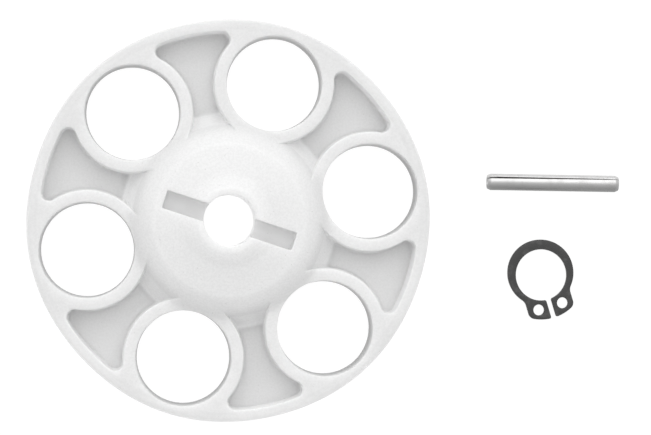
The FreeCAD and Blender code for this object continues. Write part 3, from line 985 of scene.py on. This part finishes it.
        drawing = Drawing()
        self.sides(drawing, self.join_back, self.hole_r)
        self.rim_and_hole(drawing, self.hole_r, self.edge)
        slope = self.core_back_r - self.core_top_r
        rib_outer = self.core_back_r - self.rib_recess * slope / self.core_roof
        radii = (
            self.join_back, 7.1, self.boss_r, self.boss_r + self.core_draft, 9.0, 10.5, 12.0, 13.5, 15.0,
            self.core_top_r, rib_outer, self.core_back_r, 18.1,
        )
        for radius in radii:
            drawing.line(arc((0, 0), radius, 0, self.half_turn, 12 if radius < 15.5 else 24))
        for across in (self.rib_half, self.rib_half + self.rib_draft):
            along = np.linspace(7.2, 17.4, 30)
            drawing.line(np.column_stack((along, np.full_like(along, across))))
        for radius in np.arange(*BACK_LINES):
            count = max(6, int(radius * math.radians(self.half_turn) / BACK_LINES[2]))
            drawing.line(arc((0, 0), radius, 0, self.half_turn, count), outside_hole)
        flat, triangles = drawing.fill(
            lambda c: self.in_half_sector(c, self.join_back, self.hole_r), self.snapped
        )
        return np.column_stack((self.rippled(flat), self.back_height(flat))), triangles

    def border(self, verts: Array, distance: Array, about: Array) -> Array:
        """The vertices where a distance is nearly zero, in order of angle about a point."""
        found = verts[np.abs(distance) < ON_BORDER]
        angle = np.arctan2(found[:, 1] - about[1], found[:, 0] - about[0])
        return found[np.argsort(angle)]

    def sector_shell(self) -> Shell:
        """One whole sector: its top, back, and the walls of the rim and of the hole."""
        top, top_faces = self.top_sector()
        back, back_faces = self.back_sector()
        shell = Shell()
        shell.add(top, top_faces)
        shell.add(back, back_faces, flip=True)
        centre = np.array((self.hole_at, 0.0))
        walls = []
        for verts, hole_r in ((top, self.hole_mouth_r), (back, self.hole_r)):
            hole = self.border(verts, np.hypot(verts[:, 0] - self.hole_at, verts[:, 1]) - hole_r, centre)
            angle = np.arctan2(verts[:, 1], verts[:, 0])
            edge_r = self.rim_r - self.ripple * (1 - np.cos(self.holes * angle)) / 2
            rim = self.border(verts, np.hypot(verts[:, 0], verts[:, 1]) - edge_r, np.zeros(2))
            walls.append((hole, rim))
        shell.strip(walls[0][0], walls[1][0])
        shell.strip(walls[0][1], walls[1][1], flip=True)
        return shell.mirrored()

    def slot_axes(self, points: Array) -> tuple[Array, Array]:
        """Distances along and across the slot."""
        angle = math.radians(-self.half_turn)
        along = points[:, 0] * math.cos(angle) + points[:, 1] * math.sin(angle)
        across = points[:, 1] * math.cos(angle) - points[:, 0] * math.sin(angle)
        return along, across

    def slot_loop(self, inset: float) -> Array:
        """The slot's wall line, moved inwards by an inset, as a closed line."""
        long, wide, size = self.slot_half - inset, self.slot_half_width - inset, self.slot_corner - inset
        line = []
        for x, y, start in ((long, wide, 0), (-long, wide, 90), (-long, -wide, 180), (long, -wide, 270)):
            centre = (x - math.copysign(size, x), y - math.copysign(size, y))
            line.append(arc(centre, size, start, start + 90, 6))
        top = np.column_stack((np.linspace(line[0][-1][0], line[1][0][0], 90), np.full(90, wide)))
        low = np.column_stack((np.linspace(line[2][-1][0], line[3][0][0], 90), np.full(90, -wide)))
        left = np.column_stack((np.full(9, -long), np.linspace(line[1][-1][1], line[2][0][1], 9)))
        right = np.column_stack((np.full(9, long), np.linspace(line[3][-1][1], line[0][0][1], 9)))
        joined = np.vstack((
            line[0], top[1:-1], line[1], left[1:-1], line[2], low[1:-1], line[3], right[1:-1],
        ))
        return self.turned(joined, -self.half_turn)

    @staticmethod
    def turned(points: Array, degrees: float) -> Array:
        """Points turned about the axis."""
        angle = math.radians(degrees)
        spin = np.array(((math.cos(angle), math.sin(angle)), (-math.sin(angle), math.cos(angle))))
        return points @ spin

    def slot_inset(self, points: Array) -> Array:
        """How far points lie inside the slot's wall, negative outside it."""
        along, across = self.slot_axes(points)
        from_end, from_side = self.slot_half - np.abs(along), self.slot_half_width - np.abs(across)
        return rounded_corner(from_end, from_side, self.slot_corner)

    def middle_height(self, points: Array) -> Array:
        """The top's height in the hub's middle, where the slot and the bore's mouth are."""
        radius = np.hypot(points[:, 0], points[:, 1])
        along, across = self.slot_axes(points)
        inset = self.slot_inset(points)
        crown = self.hub_height(radius) - edge_drop(np.maximum(radius - self.bore_r, 0.0), self.bore_mouth)
        crown -= edge_drop(-np.minimum(inset, 0.0), self.slot_edge)
        level = np.clip(np.abs(across), 0.0, self.slot_half_width)
        floor = self.slot_floor + self.slot_floor_r - np.sqrt(self.slot_floor_r ** 2 - level ** 2)
        from_end = np.maximum(self.slot_half - self.slot_draft - np.abs(along), 0.0)
        floor = floor + edge_drop(from_end, self.slot_end_r)
        wall = np.clip(inset / self.slot_draft, 0.0, 1.0)
        return np.where(inset <= 0, crown, crown * (1 - wall) + floor * wall)

    def middle_shell(self) -> Shell:
        """The hub's middle: the crown with its slot, the bore's wall and the boss round it at the back."""

        def clear(points: Array) -> Array:
            """Whether points lie clear of the slot's rounded edge."""
            return -self.slot_inset(points) > self.slot_edge + 0.05

        def inside(points: Array) -> Array:
            """Whether points lie between the bore and the outer edge of this middle part."""
            return (np.hypot(*points.T) > self.bore_r) & (np.hypot(*points.T) < self.join_top)

        drawing = Drawing()
        drawing.line(arc((0, 0), self.join_top, 0, 360, 24 * 2 * self.holes)[:-1], closed=True)
        for radius in CROWN_LINES:
            drawing.line(arc((0, 0), radius, 0, 360, 180)[:-1], clear, closed=True)
        for inset, _ in quarter_steps(self.bore_mouth, 6):
            keep = None if inset == 0 else clear
            drawing.line(arc((0, 0), self.bore_r + inset, 0, 360, 144)[:-1], keep, closed=True)
        for inset, _ in quarter_steps(self.slot_edge, 4):
            drawing.line(self.slot_loop(-inset), closed=True)
        drawing.line(self.slot_loop(self.slot_draft), closed=True)
        for across in FLOOR_LINES:
            for side in ((1, -1) if across else (1,)):
                along = np.linspace(-self.slot_half + 0.2, self.slot_half - 0.2, 90)
                line = np.column_stack((along, np.full_like(along, side * across)))
                drawing.line(self.turned(line, -self.half_turn))
        for back in END_LINES:
            for side in (1, -1):
                along = side * (self.slot_half - self.slot_draft - back)
                line = np.column_stack((np.full(11, along), np.linspace(-1.7, 1.7, 11)))
                drawing.line(self.turned(line, -self.half_turn))
        flat, triangles = drawing.fill(inside)
        top = np.column_stack((flat, self.middle_height(flat)))
        shell = Shell()
        shell.add(top, triangles)
        mouth = self.border(top, np.clip(np.hypot(top[:, 0], top[:, 1]) - self.bore_r, -9, 9), np.zeros(2))
        levels = [mouth]
        chamfer = 0.15
        for inset, drop in quarter_steps(chamfer, 3):
            level = mouth.copy()
            level[:, :2] *= (self.bore_r + inset) / self.bore_r
            level[:, 2] = drop
            levels.append(level)
        for upper, lower in zip(levels, levels[1:]):
            shell.strip(upper, lower, closed=True)
        boss = Drawing()
        boss.line(levels[-1][:, :2], closed=True)
        boss.line(arc((0, 0), self.join_back, 0, 360, 12 * 2 * self.holes)[:-1], closed=True)
        flat, triangles = boss.fill(lambda c: np.hypot(*c.T) > self.bore_r + chamfer)
        shell.add(np.column_stack((flat, np.zeros(len(flat)))), triangles, flip=True)
        return shell

    def build(self) -> bpy.types.Object:
        """Makes the wheel, in its place in the row frame.

        Returns:
            The finished piece.
        """
        finish = NylonFinish(
            turn=self.turn, holes=self.holes, hole_at=self.hole_at * MM, hole_r=self.hole_mouth_r * MM,
            slot_half=self.slot_half * MM, slot_half_width=self.slot_half_width * MM,
        )
        material = finish.material()
        sector = bpy.data.objects.new("wheel_sector", self.sector_shell().mesh("wheel_sector"))
        middle = bpy.data.objects.new("wheel_middle", self.middle_shell().mesh("wheel_middle"))
        for work in (sector, middle):
            bpy.context.scene.collection.objects.link(work)
        inputs = {"Count": self.holes, "Seam": MERGE_MM * MM * 4, "Centre": middle, "Finish": material}
        mesh = RoundRepeat().apply(sector, inputs)
        for work in (sector, middle):
            bpy.data.objects.remove(work)
        mesh.transform(Matrix.Rotation(math.radians(self.turn), 4, "Z"))
        log.info("wheel: %d open edges", open_edges(mesh))
        return closed_object("wheel_moulding", mesh, material)


# The pin's rounded tip, as (back from the end, out from the chamfer's small radius, out from the bore), and
# where its chamfer eases into the tube, as (past the chamfer, down from the tube's radius).
TIP_ROUND = ((0.0, -0.10, 0.05), (0.02, -0.045, 0.02), (0.07, 0.01, 0.0))
CHAMFER_ROUND = ((-0.08, 0.035), (0.0, 0.009), (0.09, 0.0))


@dataclass
class SpringPin:
    """The slotted spring pin: a rolled strip with a slit along it and chamfered ends."""

    at: tuple[float, float] = (65.4, 7.65)
    turn: float = -0.9
    radius: float = 1.65
    wall: float = 0.6
    length: float = 26.6
    slit: tuple[float, float] = (0.34, 0.07)
    slit_turn: float = 34.0
    slit_edge: float = 0.10
    chamfer_run: float = 0.7
    chamfer_rise: float = 0.28
    steps: int = 84

    def section(self, along: float, outer: float, inner: float) -> Array:
        """The rolled strip's section, as a closed line of (across, up) points.

        Args:
            along: The station's distance from the pin's middle; the slit narrows towards one end.
            outer: The outside radius at this station.
            inner: The inside radius.

        Returns:
            Points along the outside and then back along the inside, equally many of each.
        """
        half = float(np.interp(along, (-self.length / 2, self.length / 2), self.slit)) / 2
        lines = []
        for radius, edge in ((outer, self.slit_edge), (inner, self.slit_edge / 2)):
            begin = math.degrees(math.asin(half / radius))
            angles = np.linspace(begin, 360 - begin, self.steps + 1)
            depth = np.minimum(np.radians(angles - begin), np.radians(360 - begin - angles)) * radius
            drop = edge_drop(depth, edge)
            sign = -1 if radius == outer else 1
            reach = radius + sign * drop
            turns = np.radians(angles)
            lines.append(np.column_stack((np.sin(turns) * reach, np.cos(turns) * reach)))
        return np.vstack((lines[0], lines[1][::-1]))

    def stations(self) -> list[tuple[float, float, float]]:
        """Places along the pin, as (distance from its middle, outside radius, inside radius)."""
        end = self.length / 2
        inner = self.radius - self.wall
        tip = self.radius - self.chamfer_rise
        half = [(end - back, tip + out, inner + wider) for back, out, wider in TIP_ROUND]
        half += [(end - self.chamfer_run - past, self.radius - down, inner) for past, down in CHAMFER_ROUND]
        middle = [(x, self.radius, inner) for x in np.linspace(end - 1.4, -end + 1.4, 24)]
        return half + middle + [(-x, outer, inside) for x, outer, inside in reversed(half)]

    def build(self) -> bpy.types.Object:
        """Makes the pin, in its place in the row frame.

        Returns:
            The finished piece.
        """
        shell = Shell()
        rings = []
        tilt = math.radians(self.slit_turn)
        for along, outer, inner in self.stations():
            flat = self.section(along, outer, inner)
            across = flat[:, 0] * math.cos(tilt) + flat[:, 1] * math.sin(tilt)
            up = flat[:, 1] * math.cos(tilt) - flat[:, 0] * math.sin(tilt)
            rings.append(np.column_stack((np.full(len(flat), along), across, up)))
        for first, second in zip(rings, rings[1:]):
            shell.strip(first, second, closed=True)
        count = self.steps + 1
        for ring, flip in ((rings[0], True), (rings[-1], False)):
            shell.strip(ring[:count], ring[count:][::-1], flip=flip)
        mesh = shell.mesh("pin_tube")
        lift = Matrix.Translation((self.at[0] * MM, self.at[1] * MM, self.radius * MM))
        mesh.transform(lift @ Matrix.Rotation(math.radians(self.turn), 4, "Z"))
        log.info("pin: %d open edges", open_edges(mesh))
        finish = PinFinish(self.turn, (self.at[0] * MM, self.at[1] * MM), self.radius * MM)
        return closed_object("pin_tube", mesh, finish.material())


@dataclass
class RetainingRing:
    """The external retaining ring: a stamped band that narrows towards two drilled lugs beside a gap."""

    at: tuple[float, float] = (63.19, -10.905)
    turn: float = 16.7
    inside_r: float = 5.155
    outside_r: float = 6.69
    shift: float = 0.465
    gap_half: float = 0.5
    lug_r: float = 9.005
    lug_half: float = 4.7
    lug_corner: float = 1.4
    neck_fillet: float = 1.6
    tip_round: float = 0.35
    hole_r: float = 1.1
    hole_across: float = 2.5
    hole_along: float = 6.625
    thickness: float = 1.0
    edge: float = 0.12

    def outline(self) -> Array:
        """The ring's outline, anticlockwise, with its gap's corners and its lugs rounded."""
        gap_in = math.sqrt(self.inside_r ** 2 - self.gap_half ** 2)
        gap_out = math.sqrt(self.lug_r ** 2 - self.gap_half ** 2)
        lug_end = math.sqrt(self.lug_r ** 2 - self.lug_half ** 2)
        neck = self.shift - math.sqrt(self.outside_r ** 2 - self.lug_half ** 2)
        reach = math.degrees(math.asin(self.gap_half / self.lug_r))
        wide = math.degrees(math.asin(self.lug_half / self.lug_r))
        band = math.degrees(math.atan2(neck - self.shift, self.lug_half))
        inner = math.degrees(math.asin(self.gap_half / self.inside_r))
        right = [
            np.array(((self.gap_half, -gap_in), (self.gap_half, -gap_out))),
            arc((0, 0), self.lug_r, -90 + reach, -90 + wide, 30),
            np.array(((self.lug_half, -lug_end), (self.lug_half, neck))),
        ]
        left = [side[::-1] * np.array((-1.0, 1.0)) for side in reversed(right)]
        over = arc((0, self.shift), self.outside_r, band, 180 - band, 150)
        back = arc((0, 0), self.inside_r, 270 - inner, -90 + inner, 150)
        tip, lug, foot = self.tip_round, self.lug_corner, self.neck_fillet
        return rounded_outline(right + [over] + left + [back], [tip, lug, foot, foot, lug, tip, tip, tip])

    def build(self) -> bpy.types.Object:
        """Makes the ring, in its place in the row frame.

        Returns:
            The finished piece.
        """
        contours = [self.outline()]
        for side in (1, -1):
            hole = arc((side * self.hole_across, -self.hole_along), self.hole_r, 0, -360, 56)[:-1]
            contours.append(hole)
        mesh = stamped_plate(contours, self.thickness, self.edge).mesh("ring_stamping")
        place = Matrix.Translation((self.at[0] * MM, self.at[1] * MM, 0))
        mesh.transform(place @ Matrix.Rotation(math.radians(self.turn), 4, "Z"))
        log.info("ring: %d open edges", open_edges(mesh))
        return closed_object("ring_stamping", mesh, RingFinish().material())


def trimmed(side: Array, start: float, end: float) -> Array:
    """A side of an outline with lengths cut off its two ends, with points about one step apart."""
    steps = np.hypot(*np.diff(side, axis=0).T)
    reach = np.concatenate(([0.0], np.cumsum(steps)))
    count = max(3, int((reach[-1] - start - end) / OUTLINE_STEP))
    places = np.linspace(start, reach[-1] - end, count + 1)
    return np.column_stack((np.interp(places, reach, side[:, 0]), np.interp(places, reach, side[:, 1])))


def rounded_outline(sides: Sequence[Array], radii: Sequence[float]) -> Array:
    """Joins sides into a closed outline with rounded corners.

    Args:
        sides: The sides in order, each a line of points that starts where the last one ends.
        radii: The corner radius at the end of each side.

    Returns:
        The outline's points.
    """
    cuts = []
    for i, side in enumerate(sides):
        after = sides[(i + 1) % len(sides)]
        into = side[-1] - side[-2]
        out = after[1] - after[0]
        turn = math.acos(np.clip(into @ out / np.linalg.norm(into) / np.linalg.norm(out), -1, 1))
        cuts.append(radii[i] * math.tan(turn / 2))
    line = []
    for i, side in enumerate(sides):
        line.append(trimmed(side, cuts[i - 1], cuts[i]))
    joined = []
    for i, side in enumerate(line):
        after = line[(i + 1) % len(line)]
        corner = sides[i][-1]
        joined.append(side)
        share = np.linspace(0, 1, 9)[1:-1, None]
        first, last = side[-1], after[0]
        lead, trail = first + (corner - first) * CORNER_PULL, last + (corner - last) * CORNER_PULL
        curve = (1 - share) ** 3 * first + 3 * share * (1 - share) ** 2 * lead
        joined.append(curve + 3 * share ** 2 * (1 - share) * trail + share ** 3 * last)
    return np.vstack(joined)


def inward(contour: Array, distance: float) -> Array:
    """A closed contour moved to its left by a distance."""
    ahead = np.roll(contour, -1, axis=0) - contour
    behind = contour - np.roll(contour, 1, axis=0)
    ahead /= np.linalg.norm(ahead, axis=1)[:, None]
    behind /= np.linalg.norm(behind, axis=1)[:, None]
    along = ahead + behind
    along /= np.linalg.norm(along, axis=1)[:, None]
    return contour + distance * np.column_stack((-along[:, 1], along[:, 0]))


def stamped_plate(contours: Sequence[Array], thickness: float, edge: float) -> Shell:
    """A flat plate with rounded edges.

    Args:
        contours: The outline, anticlockwise, and then the holes, clockwise.
        thickness: The plate's thickness.
        edge: The radius of its edges.

    Returns:
        A closed shell that stands on the plane z = 0.
    """
    shell = Shell()
    face = Drawing()
    for contour in contours:
        levels = []
        steps = quarter_steps(edge, 4)
        for inset, drop in reversed(steps):
            levels.append(np.column_stack((inward(contour, inset), np.full(len(contour), thickness - drop))))
        for inset, drop in steps:
            levels.append(np.column_stack((inward(contour, inset), np.full(len(contour), drop))))
        for upper, lower in zip(levels, levels[1:]):
            shell.strip(upper, lower, closed=True, flip=True)
        face.line(levels[0][:, :2], closed=True)
    faces = [inward(contour, edge) for contour in contours]
    flat, triangles = face.fill(lambda centres: inside_contours(centres, faces))
    shell.add(np.column_stack((flat, np.full(len(flat), thickness))), triangles)
    shell.add(np.column_stack((flat, np.zeros(len(flat)))), triangles, flip=True)
    return shell


def inside_contours(points: Array, contours: Sequence[Array]) -> Array:
    """Whether points lie inside the first contour and outside the rest."""
    crossings = np.zeros(len(points), int)
    for contour in contours:
        for start, end in zip(contour, np.roll(contour, -1, axis=0)):
            spans = (start[1] > points[:, 1]) != (end[1] > points[:, 1])
            rise = end[1] - start[1]
            if abs(rise) < 1e-12:
                continue
            at = start[0] + (points[:, 1] - start[1]) / rise * (end[0] - start[0])
            crossings += spans & (points[:, 0] < at)
    return crossings % 2 == 1


# ---------------------------------------------------------------- studio

@dataclass
class Studio:
    """A pale floor, soft light from above and a camera that looks almost straight down."""

    eye: tuple[float, float, float] = (-0.01675, -0.0038, 0.556)
    target: tuple[float, float, float] = (0.01911, 0.0006, 0.008)
    lens: float = 153.25
    dome: float = 0.754
    sun: float = 1.215
    sun_height: float = 50.0
    sun_width: float = 70.0
    floor_half: float = 3.0
    floor_gap: float = 0.00005

    def camera(self) -> None:
        """Makes the camera, with the row frame's +Y up in the picture."""
        data = bpy.data.cameras.new("camera")
        data.lens = self.lens
        data.sensor_width = 36.0
        data.clip_start = 0.01
        data.clip_end = 20.0
        camera = bpy.data.objects.new("camera", data)
        bpy.context.scene.collection.objects.link(camera)
        eye = Vector(self.eye)
        back = (eye - Vector(self.target)).normalized()
        right = Vector((0, 1, 0)).cross(back).normalized()
        up = back.cross(right)
        camera.matrix_world = Matrix((
            (right.x, up.x, back.x, eye.x), (right.y, up.y, back.y, eye.y), (right.z, up.z, back.z, eye.z),
            (0, 0, 0, 1),
        ))
        bpy.context.scene.camera = camera

    def lights(self) -> None:
        """Makes the even dome light and one broad soft light from the +Y side."""
        world = bpy.data.worlds.new("dome")
        world.use_nodes = True
        world.node_tree.nodes["Background"].inputs[0].default_value = (1.0, 1.0, 1.0, 1.0)
        world.node_tree.nodes["Background"].inputs[1].default_value = self.dome
        bpy.context.scene.world = world
        data = bpy.data.lights.new("soft_key", "SUN")
        data.energy = self.sun
        data.angle = math.radians(self.sun_width)
        light = bpy.data.objects.new("soft_key", data)
        light.rotation_euler = (math.radians(self.sun_height - 90.0), 0.0, 0.0)
        bpy.context.scene.collection.objects.link(light)

    def floor(self) -> None:
        """Makes the floor, just below the pieces."""
        shader = Shader("floor_paper")
        shader.constants(Base_Color=(0.08, 0.08, 0.08, 1.0), Roughness=0.9, Specular_IOR_Level=0.1,
                         Emission_Color=(1.0, 1.0, 1.0, 1.0), Emission_Strength=0.965)
        half = self.floor_half
        mesh = bpy.data.meshes.new("floor")
        corners = [(-half, -half), (half, -half), (half, half), (-half, half)]
        mesh.from_pydata([(x, y, -self.floor_gap) for x, y in corners], [], [(0, 1, 2, 3)])
        mesh.materials.append(shader.material)
        floor = bpy.data.objects.new("floor", mesh)
        bpy.context.scene.collection.objects.link(floor)

    def build(self) -> None:
        """Makes the whole studio."""
        bpy.context.scene.view_settings.view_transform = "Standard"
        self.camera()
        self.lights()
        self.floor()


class Part(Enum):
    WHEEL = "wheel"
    PIN = "pin"
    RING = "ring"

    @property
    def node(self) -> str:
        """The CAD node that the piece stands for."""
        return {"wheel": "drive_wheel", "pin": "drive_pin", "ring": "retaining_ring"}[self.value]

    @property
    def slot(self) -> str:
        """A material slot name for the piece."""
        return {"wheel": "white_nylon", "pin": "pin_steel", "ring": "ring_steel"}[self.value]


def main() -> None:
    """Builds the pieces and the studio, and puts each piece on its body."""
    logging.basicConfig(level=logging.INFO, format="%(message)s")
    makers = {Part.WHEEL: DriveWheel(), Part.PIN: SpringPin(), Part.RING: RetainingRing()}
    for part, maker in makers.items():
        piece = maker.build()
        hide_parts(part.node)
        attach(piece, part.value)
        log.info("%s: %d faces", piece.name, len(piece.data.polygons))
    Studio().build()


if __name__ == "__main__":
    main()
